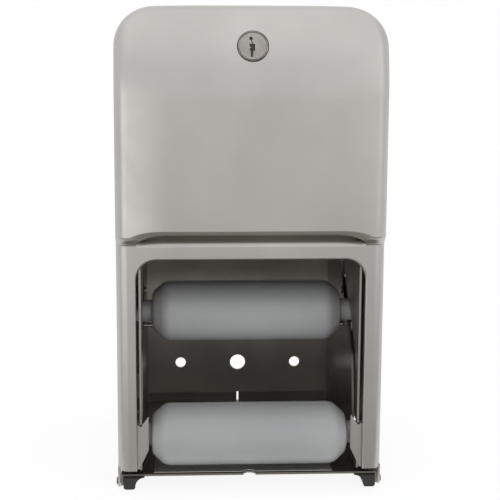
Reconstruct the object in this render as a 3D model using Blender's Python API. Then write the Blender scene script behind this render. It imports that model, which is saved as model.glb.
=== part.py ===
# Double roll toilet paper dispenser, fixed to a wall by its back panel.
# Metres, +Z up. The wall is the plane Y = 0 and the front looks along -Y.
# The origin is the middle of the wall face. Heights are counted from the foot and set with up().
from math import asin, atan2, cos, hypot, pi, radians, sin, tan

import bmesh
import bpy
from mathutils import Matrix, Vector

# Sheet, clearances and fineness
sheet = 0.0012
back_sheet = 0.0015
gap = 0.0003
overrun = 0.010
arc_steps = 6
turn_sides = 28
small_sides = 10
nut_sides = 6

# Hood, the hinged front that is drawn from one sheet
width = 0.154
height = 0.280
leg_front = 0.143
panel_proud = 0.0078
panel_front = leg_front + panel_proud
hood_rear = 0.003
leg_foot = 0.0118
top_radius = 0.0225
top_crown = 0.0008
edge_radius = 0.007
tilt_radius = 0.090
tilt_angle = radians(25)
brow_radius = 0.024
opening_top = 0.1366
header_height = 0.0071
ledge_front = opening_top + header_height
ledge_rise = 0.0028
ledge_back = ledge_front + ledge_rise
groove_height = 0.0077
panel_foot = ledge_front + groove_height
step_setback = 0.0009
step_low = ledge_front + step_setback
step_high = panel_foot - step_setback
step_shares = (0, 0.25, 0.5, 0.75, 1)
crown_shares = ((0.85, 0.99), (0.60, 0.96), (0.30, 0.90))
bullnose = 0.0034
groove_margin = 0.003
groove_half = width / 2 - groove_margin
groove_leg_margin = 0.0082
groove_leg_half = width / 2 - groove_leg_margin
groove_back_margin = 0.0157
groove_back_half = width / 2 - groove_back_margin
groove_corner = 0.0065
groove_corner_share = 0.85
groove_depth = 0.006
leg_width = 0.0114
opening_half = width / 2 - leg_width
opening_radius = 0.011
rim_depth = 0.0029
rim_radius = 0.0010
ledge_roll = 0.0005
seam = 0.00005

# Hinge of the hood
pivot_setback = 0.007
pivot_out = leg_front - pivot_setback
pivot_height = 0.0036
pivot_radius = 0.0014
ear_radius = 0.0034
ear_neck = 0.0012
ear_root = 0.0012
head_radius = 0.0023

# Back panel
panel_play = 0.0005
panel_half = width / 2 - sheet - panel_play
panel_low = 0.0115
panel_drop = 0.0055
panel_high = height - panel_drop
panel_turn = 0.003
panel_top_turn = 0.0215
lower_row = 0.0365
upper_row_drop = 0.04
upper_row = height - upper_row_drop
hole_spacing = 0.0400
side_hole = 0.0036
centre_hole = 0.0053
slit_width = 0.0014

# Side plates with their guide slots, given as distance out from the wall and height
side_room = 0.014
plate_inner = width / 2 - side_room
plate_setback = 0.005
plate_front = leg_front - plate_setback
plate_drop = 0.018
plate_top = height - plate_drop
plate_corner = 0.020
flange_setback = 0.0028
flange_reach = panel_half - flange_setback
slot_out = 0.072
slot_drop = 0.048
slot_top = height - slot_drop
slot_bend = 0.115
knee_out = 0.1205
knee_height = 0.0755
bend_radius = 0.020
exit_rise = 0.004
stub_clearance = 0.0006
notch_under = 0.0032
notch_low = ledge_front - notch_under
notch_over = 0.0061
notch_high = panel_foot + notch_over
notch_play = 0.0038
foot_flange_setback = 0.016
foot_flange_front = plate_front - foot_flange_setback

# Floor pan
pan_top = 0.0087
slit_rise = 0.0063
slit_top = pan_top + slit_rise
pan_setback = 0.0035
pan_front = leg_front - pan_setback
pan_play = 0.0004
pan_half = width / 2 - sheet - pan_play
pan_corner = 0.001
pan_flange_play = 0.001
pan_flange_half = plate_inner - pan_flange_play
pan_ear_radius = 0.0030
pan_ear_length = 0.012
thumb_radius = 0.0038
label_left_margin = 0.007
label_left = plate_inner - label_left_margin
label_right_margin = 0.0143
label_right = plate_inner - label_right_margin
label_depth = 0.060
label_sheet = 0.0004
label_setback = 0.0012

# Hinge blocks
block_outer = pan_half - sheet - gap
block_width = 0.0069
block_inner = block_outer - block_width
block_setback = 0.0018
block_front = leg_front - block_setback
block_length = 0.0152
block_back = block_front - block_length
block_flare = 0.0055
block_turn = 0.0015
screw_inset = 0.0035
screw_out = block_back + screw_inset
screw_radius = 0.0014
screw_head = 0.0026
screw_length = 0.0060

# Top rail with the keeper lip
rail_drop = 0.0088
rail_top = height - rail_drop
rail_lip_depth = 0.0132
rail_lip_low = rail_top - rail_lip_depth
rail_flange_depth = 0.0212
rail_flange_low = rail_top - rail_flange_depth
rail_flange_setback = 0.028
rail_flange_front = plate_front - rail_flange_setback
rail_flange_back = 0.010

# Rivets
rivet_radius = 0.0012
rivet_head = 0.0024
rivet_head_height = 0.0009
rail_rivets_out = (0.092, 0.028)
back_rivet_drop = 0.012
back_rivet_heights = (0.030, 0.140, plate_top - back_rivet_drop)
floor_rivets_out = (0.105, 0.030)
rail_rivet_drop = 0.0152
rail_rivet_height = rail_top - rail_rivet_drop

# Retaining tabs behind the hood's legs
tab_overlap = 0.004
tab_inner = plate_inner - tab_overlap
tab_joggle_step = 0.0016
tab_joggle = opening_half + tab_joggle_step
tab_seat = 0.0047
tab_outer = opening_half + tab_seat
tab_top = 0.0438
tab_notch_step = 0.0004
tab_notch_across = plate_inner + tab_notch_step
tab_notch_height = 0.0373
tab_shoulder = 0.040
tab_slope_top = 0.0235
tab_slope_step = 0.0015
tab_slope_foot = plate_inner + tab_slope_step

# Lock
lock_drop = 0.0235
lock_height = height - lock_drop
lock_ring = 0.0089
lock_ring_height = 0.0020
lock_ring_edge = 0.0005
lock_barrel = 0.0080
lock_length = 0.0225
plug_face = 0.0079
plug_recess = 0.0005
plug_radius = 0.005
plug_end = 0.0255
nut_radius = 0.0118
nut_set = 0.0024
nut_height = 0.004
cam_sheet = 0.002
cam_length = 0.020
cam_half = 0.0045
cam_hub = 0.0068
cam_screw_radius = 0.0015
cam_screw_head = 0.0034
cam_screw_height = 0.002
cam_screw_depth = 0.008
keeper_clearance = 0.0013
key_wide = 0.0030
key_narrow = 0.0013
key_top = 0.0012
key_waist = 0.0024
key_foot = 0.0054
key_depth = 0.007
dot_radius = 0.0006
dot_height = 0.0044
dot_depth = 0.0005
mark_width = 0.0003

# Spindles
spindle_radius = 0.01825
spindle_play = 0.0056
spindle_half = plate_inner - spindle_play
shoulder_run = 0.008
shoulder_drop = 0.007
shoulder_turn = 0.002
stub_radius = 0.0066
stub_reach = 0.0033
stub_half = plate_inner + sheet + stub_reach
stub_edge = 0.0006
bore_radius = 0.0036
bore_depth = 0.018
seat_setback = 0.01
lower_out = plate_front - seat_setback
floor_play = 0.00225
lower_height = pan_top + spindle_radius + floor_play
upper_out = 0.0950

# Reserve latches, with places counted from their pivot
latch_out = 0.0713
latch_height = 0.1037
latch_bolt = 0.0015
latch_pin_back = 0.0057
latch_pin_drop = 0.0211
latch_pin_radius = 0.0014
latch_pin_inset = 0.007
latch_pin_reach = plate_inner - latch_pin_inset
latch_swing = radians(60)
latch_spare = radians(7)
tail_length = 0.034
tail_half = 0.0075
arm_back = 0.0140
arm_drop = 0.008
nose_heel = 0.0165
nose_tip = 0.0285
nose_height = 0.0048
lobe_drop = 0.0255
lobe_front = 0.016
lobe_back = 0.0015
latch_turn = 0.003

upper_height = slot_bend - (upper_out - slot_out) * (slot_bend - knee_height) / (knee_out - slot_out)
tilt_start = height - top_crown - brow_radius - (tilt_radius - brow_radius) * sin(tilt_angle)
plate_outer = plate_inner + sheet
flange_middle = (plate_outer + flange_reach) / 2
flange_back = -back_sheet - gap
flange_front = flange_back - sheet
slot_half = stub_radius + stub_clearance
pan_under = pan_top - sheet


def up(above_foot):
    return above_foot - height / 2


def finish(name, colour, roughness, metallic):
    made = bpy.data.materials.new(name)
    made.use_nodes = True
    shader = made.node_tree.nodes["Principled BSDF"]
    shader.inputs["Base Color"].default_value = (*colour, 1)
    shader.inputs["Roughness"].default_value = roughness
    shader.inputs["Metallic"].default_value = metallic
    return made


def rounded(corners, closed=True):
    """The outline through (a, b, radius) corners, each turned with an arc of its radius."""
    points = []
    last = len(corners) - 1
    for index, (a, b, radius) in enumerate(corners):
        corner = Vector((a, b))
        if not radius or (not closed and index in (0, last)):
            points.append(corner)
            continue
        before = (Vector(corners[index - 1][:2]) - corner).normalized()
        after = (Vector(corners[0 if index == last else index + 1][:2]) - corner).normalized()
        half = before.angle(after) / 2
        middle = corner + (before + after).normalized() * (radius / sin(half))
        start = corner + before * (radius / tan(half)) - middle
        end = corner + after * (radius / tan(half)) - middle
        first = atan2(start.y, start.x)
        sweep = (atan2(end.y, end.x) - first + pi) % (2 * pi) - pi
        steps = max(2, round(arc_steps * abs(sweep) / (pi / 2)))
        points += arc(middle, radius, first, first + sweep, steps)
    return points


def arc(middle, radius, first, last, steps):
    angles = [first + (last - first) * step / steps for step in range(steps + 1)]
    return [Vector((middle[0] + radius * cos(a), middle[1] + radius * sin(a))) for a in angles]


def stroke(route, half):
    """The outline of a slot of this half width along a route, with round ends."""
    left, right = [], []
    for index, point in enumerate(route):
        before = route[max(index - 1, 0)]
        after = route[min(index + 1, len(route) - 1)]
        along = (after - before).normalized()
        across = Vector((-along.y, along.x)) * half
        left.append(point + across)
        right.append(point - across)
    start = (route[0] - route[1]).normalized()
    end = (route[-1] - route[-2]).normalized()
    turn_out = atan2(end.y, end.x)
    turn_back = atan2(start.y, start.x)
    head = arc(route[-1], half, turn_out + pi / 2, turn_out - pi / 2, 2 * arc_steps)[1:-1]
    tail = arc(route[0], half, turn_back + pi / 2, turn_back - pi / 2, 2 * arc_steps)[1:-1]
    return left + head + right[::-1] + tail


def placed(axis, a, b, along):
    return {"X": (along, a, b), "Y": (a, along, b), "Z": (a, b, along)}[axis]


def solid_from(name, shape):
    bmesh.ops.recalc_face_normals(shape, faces=shape.faces)
    mesh = bpy.data.meshes.new(name)
    shape.to_mesh(mesh)
    shape.free()
    made = bpy.data.objects.new(name, mesh)
    bpy.context.scene.collection.objects.link(made)
    return made


def loft(name, axis, sections):
    """A solid through (outline, place) sections that have the same number of points."""
    shape = bmesh.new()
    rings = [[shape.verts.new(placed(axis, a, b, along)) for a, b in outline] for outline, along in sections]
    for ring, following in zip(rings, rings[1:]):
        for index in range(len(ring)):
            other = (index + 1) % len(ring)
            shape.faces.new((ring[index], ring[other], following[other], following[index]))
    shape.faces.new(rings[0])
    shape.faces.new(rings[-1])
    return solid_from(name, shape)


def prism(name, axis, outline, low, high):
    return loft(name, axis, [(outline, low), (outline, high)])


def block(name, low, high):
    outline = [(low[0], low[1]), (high[0], low[1]), (high[0], high[1]), (low[0], high[1])]
    return prism(name, "Z", outline, low[2], high[2])


def turned(name, profile, sides, place):
    """A solid of revolution about local Z from (radius, along) points, set down by a matrix."""
    shape = bmesh.new()
    rings = []
    for radius, along in profile:
        if radius == 0:
            rings.append([shape.verts.new((0, 0, along))])
            continue
        angles = [2 * pi * side / sides for side in range(sides)]
        rings.append([shape.verts.new((radius * cos(a), radius * sin(a), along)) for a in angles])
    pairs = list(zip(rings, rings[1:]))
    if profile[0][0]:
        pairs.append((rings[-1], rings[0]))
    for ring, following in pairs:
        for index in range(sides):
            other = (index + 1) % sides
            corners = [ring[index % len(ring)], ring[other % len(ring)]]
            corners += [following[other % len(following)], following[index % len(following)]]
            shape.faces.new(list(dict.fromkeys(corners)))
    made = solid_from(name, shape)
    made.data.transform(place)
    return made


def combine(target, tool, operation, solver):
    change = target.modifiers.new(operation, "BOOLEAN")
    change.operation = operation
    change.solver = solver
    change.object = tool
    graph = bpy.context.evaluated_depsgraph_get()
    solved = bpy.data.meshes.new_from_object(target.evaluated_get(graph))
    target.modifiers.clear()
    target.data = solved
    bpy.data.objects.remove(tool)
    return target


def cut(target, *tools, solver="EXACT"):
    for tool in tools:
        combine(target, tool, "DIFFERENCE", solver)
    return target


def join(target, *tools, solver="EXACT"):
    for tool in tools:
        combine(target, tool, "UNION", solver)
    return target


def dress(made, material, carrier=None):
    """Gives a finished solid its material and smooth round sides, and hangs it on its joint's empty."""
    made.data.materials.clear()
    made.data.materials.append(material)
    made.data.shade_smooth()
    made.data.set_sharp_from_angle(angle=radians(35))
    if carrier:
        made.parent = carrier
        made.matrix_parent_inverse = carrier.matrix_world.inverted()
    return made


def joint_empty(name, place):
    made = bpy.data.objects.new(name, None)
    bpy.context.scene.collection.objects.link(made)
    made.matrix_world = place
    bpy.context.view_layer.update()
    return made


def facing(direction, place):
    """The matrix that turns local Z to a direction and moves the solid to a place."""
    return Matrix.Translation(place) @ Vector(direction).to_track_quat("Z", "Y").to_matrix().to_4x4()


def pin_hole(direction, place, radius, reach, round_sides=small_sides):
    return turned("hole", [(0, -reach), (radius, -reach), (radius, reach), (0, reach)],
                  round_sides, facing(direction, place))


def rivet(name, direction, place, radius, head, grip, tail=0.0):
    """A rivet whose round head sits at the place and whose shank runs back by its grip, to a tail head."""
    profile = [(0, rivet_head_height), (head - gap, rivet_head_height), (head, rivet_head_height - gap)]
    profile += [(head, 0), (radius, 0), (radius, -grip)]
    if tail:
        profile += [(tail, -grip), (tail, -grip - rivet_head_height)]
    profile.append((0, profile[-1][1]))
    return turned(name, profile, small_sides, facing(direction, place))


def hood_stations(inset):
    """(height, front, half width) of the hood's sections, from its foot to its top."""
    rise, run = step_high - step_low, panel_front - leg_front
    lift = inset * hypot(rise, run) / run
    tilt_out = panel_front - tilt_radius
    brow_out = tilt_out + (tilt_radius - brow_radius) * cos(tilt_angle)
    brow_height = tilt_start + (tilt_radius - brow_radius) * sin(tilt_angle)
    side_height = height - top_crown - top_radius
    stations = [(leg_foot - (overrun if inset else 0), leg_front - inset)]
    for share in step_shares:
        blend = share * share * (3 - 2 * share)
        stations.append((step_low + rise * share + lift, leg_front + run * blend - inset))
    for step in range(arc_steps):
        angle = tilt_angle * step / arc_steps
        stations.append((tilt_start + (tilt_radius - inset) * sin(angle),
                         tilt_out + (tilt_radius - inset) * cos(angle)))
    for step in range(arc_steps + 1):
        angle = tilt_angle + (pi / 2 - tilt_angle) * step / arc_steps
        stations.append((brow_height + (brow_radius - inset) * sin(angle),
                         brow_out + (brow_radius - inset) * cos(angle)))
    widths = []
    for level, _ in stations:
        above = max(level - side_height, 0)
        side = max((top_radius - inset) ** 2 - above ** 2, 0) ** 0.5 if above else top_radius - inset
        widths.append(width / 2 - top_radius + side)
    sections = [(level, front, half) for (level, front), half in zip(stations, widths)]
    for across_share, front_share in crown_shares:
        sections.append((height - inset - top_crown * across_share ** 2, brow_out * front_share,
                         (width / 2 - top_radius) * across_share))
    return sections


def hood_form(inset):
    """The hood's outside as a solid or, drawn in by its wall, its hollow, run past the open foot and rear."""
    rear = -hood_rear + (overrun if inset else 0)
    turn = edge_radius - inset
    sections = []
    for level, front, half in hood_stations(inset):
        outline = rounded([(-half, rear, 0), (half, rear, 0), (half, -front, turn), (-half, -front, turn)])
        sections.append((outline, up(level)))
    return loft("hollow" if inset else "hood", "Z", sections)


def groove(grown):
    """The finger groove under the panel, or the same grown by the sheet to leave its wall."""
    def section(half, top, bottom, place):
        turn = min(groove_corner, (top - bottom) * groove_corner_share) + grown
        half, top, bottom = half + grown, up(top) + grown, up(bottom) - grown
        return rounded([(-half, bottom, 0), (half, bottom, 0), (half, top, turn), (-half, top, turn)]), place

    sections = [section(groove_half, panel_foot + bullnose - grown, ledge_front, -panel_front - overrun)]
    lip = bullnose - grown
    for step in range(arc_steps // 2 + 1):
        angle = pi / 2 * step / (arc_steps // 2)
        top = panel_foot + bullnose - grown - lip * sin(angle)
        sections.append(section(groove_half, top, ledge_front, -panel_front + bullnose - (lip + seam) * cos(angle)))
    sections.append(section(groove_leg_half, panel_foot, ledge_front, -leg_front - ledge_roll))
    sections.append(section(groove_back_half, panel_foot, ledge_back, -leg_front + groove_depth + grown))
    return loft("groove", "Y", sections)


def opening_outline(grown, low):
    half, top, turn = opening_half + grown, up(opening_top) + grown, opening_radius + grown
    return rounded([(-half, low, 0), (half, low, 0), (half, top, turn), (-half, top, turn)])


def opening():
    """The front opening, whose mouth is rolled outwards by a small radius."""
    low = up(leg_foot) - overrun
    sections = [(opening_outline(rim_radius, low), -leg_front - overrun)]
    for step in range(arc_steps // 2 + 1):
        angle = pi / 2 * step / (arc_steps // 2)
        sections.append((opening_outline(rim_radius * (1 - sin(angle)), low),
                         -leg_front - seam + rim_radius * (1 - cos(angle))))
    sections.append((opening_outline(0, low), -leg_front + rim_depth + overrun))
    return loft("opening", "Y", sections)


def ear(side):
    """The hood's lug round the hinge rivet, in the plane of its side wall."""
    first = radians(150)
    outline = arc((-pivot_out, up(pivot_height)), ear_radius, first, 2 * pi, 2 * arc_steps)
    outline += [Vector((-pivot_out + ear_radius, up(leg_foot) + ear_root)),
                Vector((-pivot_out - ear_neck, up(leg_foot) + ear_root))]
    inner, outer = width / 2 - sheet, width / 2
    return prism("ear", "X", outline, side * inner, side * outer)


def hinge_hole(side, inner, radius):
    """A hole on the hinge's line from this distance across out past the hood."""
    middle = (inner + width / 2 + overrun) / 2
    return pin_hole((1, 0, 0), (side * middle, -pivot_out, up(pivot_height)), radius, middle - inner)


def make_hood():
    """The drawn hood. Its many-sided solids need the manifold solver."""
    solver = "MANIFOLD"
    hollow = cut(hood_form(sheet), groove(sheet), solver=solver)
    hood = cut(hood_form(0), hollow, groove(0), solver=solver)
    rim = prism("rim", "Y", opening_outline(sheet, up(leg_foot)), -leg_front + sheet / 2, -leg_front + rim_depth)
    join(hood, rim, solver=solver)
    cut(hood, opening(), solver=solver)
    for side in (-1, 1):
        join(hood, ear(side), solver=solver)
        cut(hood, hinge_hole(side, width / 2 - 2 * sheet, pivot_radius + gap), solver=solver)
    hole = pin_hole((0, 0, 1), (0, 0, 0), lock_barrel + gap, overrun, turn_sides)
    hole.data.transform(lock_place)
    return cut(hood, hole, solver=solver)


def make_tab(side):
    """A joggled plate spot welded behind a leg, whose fin stands in front of the slot's open end."""
    fin_front = -leg_front + rim_depth + gap
    fin_back = fin_front + sheet
    pad_front = -leg_front + sheet + gap
    corners = [(tab_inner, tab_slope_top), (tab_inner, tab_top), (tab_notch_across, tab_notch_height),
               (tab_joggle + sheet, tab_shoulder), (tab_joggle + sheet, leg_foot), (tab_slope_foot, leg_foot)]
    name = "retaining_tab_" + sides[side]
    tab = prism(name, "Y", [(side * a, up(b)) for a, b in corners], fin_front, fin_back)
    web = [(side * tab_joggle, pad_front), (side * (tab_joggle + sheet), pad_front),
           (side * (tab_joggle + sheet), fin_back), (side * tab_joggle, fin_back)]
    pad = [(side * tab_joggle, pad_front), (side * tab_outer, pad_front),
           (side * tab_outer, pad_front + sheet), (side * tab_joggle, pad_front + sheet)]
    for outline in (web, pad):
        join(tab, prism("fold", "Z", outline, up(leg_foot), up(tab_shoulder)))
    return tab


def make_back_panel():
    half, low, high = panel_half, up(panel_low), up(panel_high)
    corners = [(-half, low, panel_turn), (half, low, panel_turn), (half, high, panel_top_turn),
               (-half, high, panel_top_turn)]
    panel = prism("back_panel", "Y", rounded(corners), -back_sheet, 0)
    for row in (lower_row, upper_row):
        for across, radius in ((-hole_spacing, side_hole), (0, centre_hole), (hole_spacing, side_hole)):
            hole = pin_hole((0, 1, 0), (across, 0, up(row)), radius, overrun, turn_sides)
            cut(panel, hole, solver="MANIFOLD")
    for side in (-1, 1):
        for level in back_rivet_heights:
            place = (side * flange_middle, 0, up(level))
            cut(panel, pin_hole((0, 1, 0), place, rivet_radius + gap, overrun), solver="MANIFOLD")
    return cut(panel, slit(0), solver="MANIFOLD")


def slit(past):
    """The cut that runs up the middle of the pan's flange and, to the same height, the back panel behind it."""
    return block("slit", (-slit_width / 2, -overrun, up(pan_top)), (slit_width / 2, overrun, up(slit_top) + past))


def make_side_plate(side):
    name = "side_plate_" + sides[side]
    low, high = up(pan_top) + gap, up(plate_top)
    corners = [(flange_back, low, 0), (flange_back, high, 0), (-plate_front, high, plate_corner),
               (-plate_front, low, 2 * sheet)]
    plate = prism(name, "X", rounded(corners), side * plate_inner, side * plate_outer)
    across = sorted((side * plate_inner, side * flange_reach))
    join(plate,
         block("flange", (across[0], flange_front, low), (across[1], flange_back, high)),
         block("foot", (across[0], -foot_flange_front, low), (across[1], flange_back, low + sheet)))
    through = sorted((side * (plate_inner - overrun), side * (plate_outer + overrun / 2)))
    for outline in (guide_route(), exit_route(), latch_route()):
        cut(plate, prism("slot", "X", outline, *through))
    cut(plate, block("notch", (through[0], -plate_front - overrun, up(notch_low)),
                     (through[1], -leg_front + groove_depth + sheet + notch_play, up(notch_high))))
    holes = [((1, 0, 0), (side * plate_inner, -out, up(rail_rivet_height)), rivet_radius) for out in rail_rivets_out]
    holes += [((0, 0, 1), (side * flange_middle, -out, low), rivet_radius) for out in floor_rivets_out]
    holes += [((0, 1, 0), (side * flange_middle, flange_back, up(level)), rivet_radius)
              for level in back_rivet_heights]
    holes.append(((1, 0, 0), (side * plate_inner, -latch_out, up(latch_height)), latch_bolt))
    return cut(plate, *[pin_hole(direction, place, radius + gap, 2 * sheet + gap)
                        for direction, place, radius in holes])


def guide_route():
    """The bent slot that both spindles ride down, from its closed top to the lower spindle's seat."""
    route = rounded([(-slot_out, up(slot_top), 0), (-slot_out, up(slot_bend), bend_radius),
                     (-knee_out, up(knee_height), bend_radius), (-lower_out, up(lower_height), 0)], closed=False)
    return stroke(route, slot_half)


def exit_route():
    """The way out of the slot at the front, a little uphill, which the hood's tabs close."""
    return stroke([Vector((-lower_out, up(lower_height))),
                   Vector((-plate_front - overrun, up(lower_height) + exit_rise))], slot_half)


def latch_route():
    """The short arc that the latch's pin moves along."""
    reach = hypot(latch_pin_back, latch_pin_drop)
    rest = atan2(-latch_pin_drop, -latch_pin_back)
    middle = (-latch_out, up(latch_height))
    route = arc(middle, reach, rest - latch_spare, rest + latch_swing + latch_spare, 2 * arc_steps)
    return stroke(route, latch_pin_radius + gap)


def make_floor_pan():
    corners = [(-pan_half, flange_back, 0), (pan_half, flange_back, 0), (pan_half, -pan_front, pan_corner),
               (-pan_half, -pan_front, pan_corner)]
    pan = prism("floor_pan", "Z", rounded(corners), up(pan_under), up(pan_top))
    join(pan, block("flange", (-pan_flange_half, flange_front, up(pan_under)),
                    (pan_flange_half, flange_back, up(slit_top))))
    for side in (-1, 1):
        outline = arc((-pivot_out, up(pivot_height)), pan_ear_radius, pi, 2 * pi, 2 * arc_steps)
        outline += [Vector((-pan_front + pan_ear_length, up(pan_under) + sheet / 2)),
                    Vector((-pivot_out - pan_ear_radius, up(pan_under) + sheet / 2))]
        join(pan, prism("ear", "X", outline, side * (pan_half - sheet), side * pan_half))
        cut(pan, hinge_hole(side, pan_half - 2 * sheet, pivot_radius + gap))
        for out in floor_rivets_out:
            cut(pan, pin_hole((0, 0, 1), (side * flange_middle, -out, up(pan_top)), rivet_radius + gap, overrun / 2))
        cut(pan, pin_hole((0, 0, 1), (side * block_middle, -screw_out, up(pan_top)), screw_radius + gap, overrun / 2))
    cut(pan, slit(overrun))
    return cut(pan, pin_hole((0, 0, 1), (0, -pan_front, up(pan_top)), thumb_radius, overrun))


def make_hinge_block(side):
    """A moulded block under the pan's front corner, flared towards the middle under the pan."""
    top, foot = up(pan_under) - gap, up(0)
    flare = arc((block_inner - block_flare, foot + (top - foot) - block_flare), block_flare, pi / 2, 0, arc_steps)
    corners = [(block_outer, top, 0), (block_outer, foot, block_turn), (block_inner, foot, block_turn)]
    corners += [(a, b, 0) for a, b in flare[::-1][:-1]]
    corners += [(block_inner - block_flare, top, 0)]
    outline = [(side * a, b) for a, b in rounded(corners)]
    made = prism("hinge_block_" + sides[side], "Y", outline, -block_front, -block_back)
    screw_foot = pan_top + gap - screw_length - gap
    reach = (pan_top + overrun - screw_foot) / 2
    return cut(made, hinge_hole(side, block_inner + sheet, pivot_radius + gap),
               pin_hole((0, 0, 1), (side * block_middle, -screw_out, up(screw_foot) + reach), screw_radius + gap, reach))


def make_top_rail():
    """The rail that ties the side plates, whose front lip the lock's cam goes behind."""
    inner, outer = plate_inner - gap - sheet, plate_inner - gap
    top, under = up(rail_top), up(rail_top) - sheet
    lip_front = keeper_back - sheet
    rail = block("top_rail", (-outer, lip_front, under), (outer, flange_back, top))
    join(rail, block("lip", (-outer, lip_front, up(rail_lip_low)), (outer, keeper_back, top)),
         block("back", (-outer, flange_front, up(rail_flange_low)), (outer, flange_back, top)), solver="MANIFOLD")
    for side in (-1, 1):
        across = sorted((side * inner, side * outer))
        join(rail, block("end", (across[0], -rail_flange_front, up(rail_flange_low)),
                         (across[1], -rail_flange_back, under + sheet / 2)), solver="MANIFOLD")
        for out in rail_rivets_out:
            place = (side * inner, -out, up(rail_rivet_height))
            cut(rail, pin_hole((1, 0, 0), place, rivet_radius + gap, 2 * sheet), solver="MANIFOLD")
    return rail


def make_lock():
    """The lock's body, nut, plug, cam and screw, made along local Z and set into the tilted panel."""
    ring = [(lock_ring, gap), (lock_ring, lock_ring_height - lock_ring_edge),
            (lock_ring - lock_ring_edge, lock_ring_height), (plug_face + gap, lock_ring_height),
            (plug_face + gap, plug_recess), (plug_radius + gap, plug_recess), (plug_radius + gap, -lock_length),
            (lock_barrel, -lock_length), (lock_barrel, gap)]
    body = turned("lock_body", ring, turn_sides, lock_place)

    nut = turned("lock_nut", [(0, -nut_set), (nut_radius, -nut_set), (nut_radius, -nut_set - nut_height),
                              (0, -nut_set - nut_height)], nut_sides, Matrix())
    cut(nut, pin_hole((0, 0, 1), (0, 0, -nut_set), lock_barrel + gap, overrun, turn_sides))
    nut.data.transform(lock_place)

    face = plug_recess + gap
    plug = turned("lock_plug", [(0, lock_ring_height - gap), (plug_face, lock_ring_height - gap), (plug_face, face),
                                (plug_radius, face), (plug_radius, -plug_end), (0, -plug_end)],
                  turn_sides, Matrix())
    low, high = lock_ring_height - key_depth, lock_ring_height + overrun
    for half, top, foot in ((key_wide / 2, key_top, -key_waist), (key_narrow / 2, -key_waist + gap, -key_foot)):
        cut(plug, block("key", (-half, foot, low), (half, top, high)))
    dot = pin_hole((0, 0, 1), (0, dot_height, lock_ring_height), dot_radius, dot_depth)
    mark = block("mark", (-mark_width / 2, key_top + mark_width, lock_ring_height - dot_depth),
                 (mark_width / 2, dot_height, high))
    cut(plug, dot, mark, pin_hole((0, 0, 1), (0, 0, -plug_end), cam_screw_radius + gap, cam_screw_depth + gap))
    plug.data.transform(lock_place)

    back = -plug_end - gap
    hub = arc((0, 0), cam_hub, radians(-135), radians(135), 2 * arc_steps)
    outline = hub + [Vector((-cam_length, cam_half)), Vector((-cam_length, -cam_half))]
    cam = prism("lock_cam", "Z", outline, back - cam_sheet, back)
    cut(cam, pin_hole((0, 0, 1), (0, 0, back), cam_screw_radius + gap, overrun))
    cam.data.transform(lock_place)

    screw = turned("cam_screw", [(0, back - cam_sheet - gap - cam_screw_height),
                                 (cam_screw_head, back - cam_sheet - gap - cam_screw_height),
                                 (cam_screw_head, back - cam_sheet - gap), (cam_screw_radius, back - cam_sheet - gap),
                                 (cam_screw_radius, -plug_end + cam_screw_depth), (0, -plug_end + cam_screw_depth)],
                   small_sides, lock_place)
    return body, nut, plug, cam, screw


def make_spindle(name, out, level):
    """A moulded spindle along X: a body with drawn-in shoulders, and a bored stub at each end."""
    shoulder = [(stub_radius, -stub_half + stub_edge, 0), (stub_radius, -spindle_half, 0),
                (spindle_radius - shoulder_drop, -spindle_half, shoulder_turn),
                (spindle_radius, -spindle_half + shoulder_run, shoulder_turn), (spindle_radius, 0, 0)]
    half = [(0, -stub_half + bore_depth), (bore_radius, -stub_half + bore_depth), (bore_radius, -stub_half),
            (stub_radius - stub_edge, -stub_half)]
    half += [(a, b) for a, b in rounded(shoulder, closed=False)][:-1]
    profile = half + [(a, -b) for a, b in half[::-1]]
    return turned(name, profile, turn_sides, facing((1, 0, 0), (0, -out, up(level))))


def make_latch(side):
    """The pawl outside a side plate, whose nose carries the upper spindle and whose tail outweighs it."""
    corners = [(tail_length, tail_half), (-latch_pin_back, tail_half), (-arm_back, -arm_drop),
               (-nose_heel, -nose_top), (-nose_tip, -nose_top), (-nose_tip, -nose_top - nose_height),
               (-lobe_front, -lobe_drop), (-lobe_back, -lobe_drop), (lobe_back, -tail_half), (tail_length, -tail_half)]
    outline = rounded([(a - latch_out, b + up(latch_height), latch_turn / 2 if index in (3, 4, 5) else latch_turn)
                       for index, (a, b) in enumerate(corners)])
    inner = plate_outer + gap
    latch = prism("latch_" + sides[side], "X", outline, side * inner, side * (inner + sheet))
    pivot = (side * inner, -latch_out, up(latch_height))
    pin = (side * inner, -latch_out - latch_pin_back, up(latch_height) - latch_pin_drop)
    return cut(latch, pin_hole((1, 0, 0), pivot, latch_bolt + gap, 2 * sheet),
               pin_hole((1, 0, 0), pin, latch_pin_radius + gap, 2 * sheet))


sides = {-1: "left", 1: "right"}
block_middle = (block_inner + block_outer) / 2
lock_angle = asin((lock_height - tilt_start) / tilt_radius)
lock_out = panel_front - tilt_radius * (1 - cos(lock_angle))
lock_place = Matrix.Translation((0, -lock_out, up(lock_height))) @ Matrix.Rotation(pi / 2 - lock_angle, 4, "X")
nose_top = latch_height - (upper_height - stub_radius - gap)

# The keeper lip stands just in front of the raised cam, at the height of the lip's lower edge
cam_back = plug_end + gap
cam_climb = (rail_lip_low - lock_height + cam_back * sin(lock_angle)) / cos(lock_angle)
keeper_back = -lock_out + cam_climb * sin(lock_angle) + cam_back * cos(lock_angle) - keeper_clearance

for leftover in list(bpy.data.objects):
    bpy.data.objects.remove(leftover)

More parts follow.
